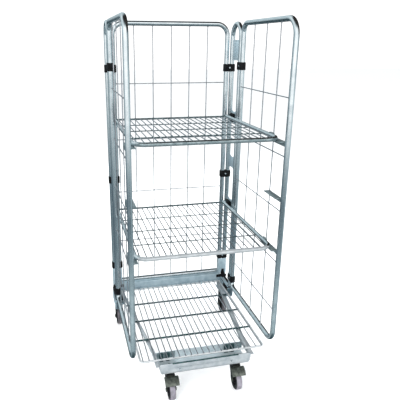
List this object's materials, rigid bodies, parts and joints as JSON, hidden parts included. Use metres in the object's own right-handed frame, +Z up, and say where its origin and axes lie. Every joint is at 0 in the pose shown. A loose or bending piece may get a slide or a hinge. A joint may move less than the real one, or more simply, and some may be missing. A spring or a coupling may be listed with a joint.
{
  "type": "roll container",
  "caption": "Tall zinc-plated wire roll container with an open front, hinged side panels, lift-up shelves and deck, and a base with braked swivel casters and fixed casters.",
  "frame": {"origin": "on the floor below the middle of the container", "axes": "+Z up, -Y towards the open front, +X to the right as seen from the front"},
  "size_m": [0.725, 0.818, 1.762],
  "materials": {
    "zinc_tube": "bright zinc plating on tube",
    "zinc_wire": "bright zinc plating on welded wire",
    "zinc_sheet": "bright zinc plating on folded sheet",
    "caster_zinc": "duller zinc plating on pressed steel",
    "black_plastic": "moulded black plastic",
    "wheel_plastic": "moulded black plastic",
    "tyre": "worn dark grey rubber"
  },
  "bodies": {
    "base": {"back_clips_left": "black_plastic", "back_clips_right": "black_plastic", "back_panel_frame": "zinc_tube", "back_panel_mesh": "zinc_wire", "base_front_channel": "zinc_sheet", "base_rear_channel": "zinc_sheet", "base_side_member_left": "zinc_sheet", "base_side_member_right": "zinc_sheet", "clip_screws_left": "caster_zinc", "clip_screws_right": "caster_zinc", "deck_hinge_eyes": "zinc_sheet", "foot_bracket_left": "zinc_sheet", "foot_bracket_right": "zinc_sheet", "foot_seat_left": "black_plastic", "foot_seat_right": "black_plastic", "front_king_bolts": "caster_zinc", "front_swivel_heads": "caster_zinc", "hinge_clips_left": "black_plastic", "hinge_clips_right": "black_plastic", "post_top_plate_left": "zinc_sheet", "post_top_plate_right": "zinc_sheet", "rear_axles": "caster_zinc", "rear_caster_bolts": "caster_zinc", "rear_forks": "caster_zinc", "rear_post_left": "zinc_tube", "rear_post_right": "zinc_tube", "shelf_hook_plates_left": "zinc_sheet", "shelf_hook_plates_right": "zinc_sheet", "shelf_pivot_blocks_left": "black_plastic", "shelf_pivot_blocks_right": "black_plastic"},
    "right_panel": {"side_panel_frame_right": "zinc_tube", "side_panel_mesh_right": "zinc_wire", "side_panel_shelf_bars_right": "zinc_sheet"},
    "left_panel": {"side_panel_frame_left": "zinc_tube", "side_panel_mesh_left": "zinc_wire", "side_panel_shelf_bars_left": "zinc_sheet"},
    "upper_shelf": {"upper_shelf_frame": "zinc_tube", "upper_shelf_hooks": "zinc_sheet", "upper_shelf_mesh": "zinc_wire", "upper_shelf_pivot_pins": "zinc_tube"},
    "lower_shelf": {"lower_shelf_frame": "zinc_tube", "lower_shelf_hooks": "zinc_sheet", "lower_shelf_mesh": "zinc_wire", "lower_shelf_pivot_pins": "zinc_tube"},
    "deck": {"deck_frame": "zinc_tube", "deck_mesh": "zinc_wire"},
    "front_caster_right": {"front_axle_right": "caster_zinc", "front_fork_right": "caster_zinc"},
    "front_caster_left": {"front_axle_left": "caster_zinc", "front_fork_left": "caster_zinc"},
    "front_brake_right": {"front_brake_pedal_right": "caster_zinc"},
    "front_brake_left": {"front_brake_pedal_left": "caster_zinc"},
    "front_wheel_right": {"front_tyre_right": "tyre", "front_wheel_core_right": "wheel_plastic"},
    "front_wheel_left": {"front_tyre_left": "tyre", "front_wheel_core_left": "wheel_plastic"},
    "rear_wheel_right": {"rear_tyre_right": "tyre", "rear_wheel_core_right": "wheel_plastic"},
    "rear_wheel_left": {"rear_tyre_left": "tyre", "rear_wheel_core_left": "wheel_plastic"}
  },
  "joints": [
    {"name": "right_panel_swing", "type": "hinge", "parent": "base", "child": "right_panel", "pos_m": [0.3475, 0.232, 0.913], "axis": [0, 0, 1], "range_deg": [0, 120]},
    {"name": "left_panel_swing", "type": "hinge", "parent": "base", "child": "left_panel", "pos_m": [-0.3475, 0.232, 0.913], "axis": [0, 0, -1], "range_deg": [0, 120]},
    {"name": "upper_shelf_lift", "type": "hinge", "parent": "base", "child": "upper_shelf", "pos_m": [0, 0.329, 1.255], "axis": [-1, 0, 0], "range_deg": [0, 90]},
    {"name": "lower_shelf_lift", "type": "hinge", "parent": "base", "child": "lower_shelf", "pos_m": [0, 0.329, 0.74], "axis": [-1, 0, 0], "range_deg": [0, 20]},
    {"name": "deck_lift", "type": "hinge", "parent": "base", "child": "deck", "pos_m": [0, 0.369, 0.2083], "axis": [-1, 0, 0], "range_deg": [0, 40]},
    {"name": "front_right_swivel", "type": "hinge", "parent": "base", "child": "front_caster_right", "pos_m": [0.168, -0.324, 0.145], "axis": [0, 0, 1], "continuous": true},
    {"name": "front_right_brake_press", "type": "hinge", "parent": "front_caster_right", "child": "front_brake_right", "pos_m": [0.168, -0.342, 0.114], "axis": [1, 0, 0], "range_deg": [0, 7]},
    {"name": "front_right_wheel_spin", "type": "hinge", "parent": "front_caster_right", "child": "front_wheel_right", "pos_m": [0.168, -0.359, 0.05], "axis": [1, 0, 0], "continuous": true},
    {"name": "rear_right_wheel_spin", "type": "hinge", "parent": "base", "child": "rear_wheel_right", "pos_m": [0.334, 0.357, 0.05], "axis": [1, 0, 0], "continuous": true},
    {"name": "front_left_swivel", "type": "hinge", "parent": "base", "child": "front_caster_left", "pos_m": [-0.168, -0.324, 0.145], "axis": [0, 0, 1], "continuous": true},
    {"name": "front_left_brake_press", "type": "hinge", "parent": "front_caster_left", "child": "front_brake_left", "pos_m": [-0.168, -0.342, 0.114], "axis": [1, 0, 0], "range_deg": [0, 7]},
    {"name": "front_left_wheel_spin", "type": "hinge", "parent": "front_caster_left", "child": "front_wheel_left", "pos_m": [-0.168, -0.359, 0.05], "axis": [1, 0, 0], "continuous": true},
    {"name": "rear_left_wheel_spin", "type": "hinge", "parent": "base", "child": "rear_wheel_left", "pos_m": [-0.334, 0.357, 0.05], "axis": [1, 0, 0], "continuous": true}
  ]
}
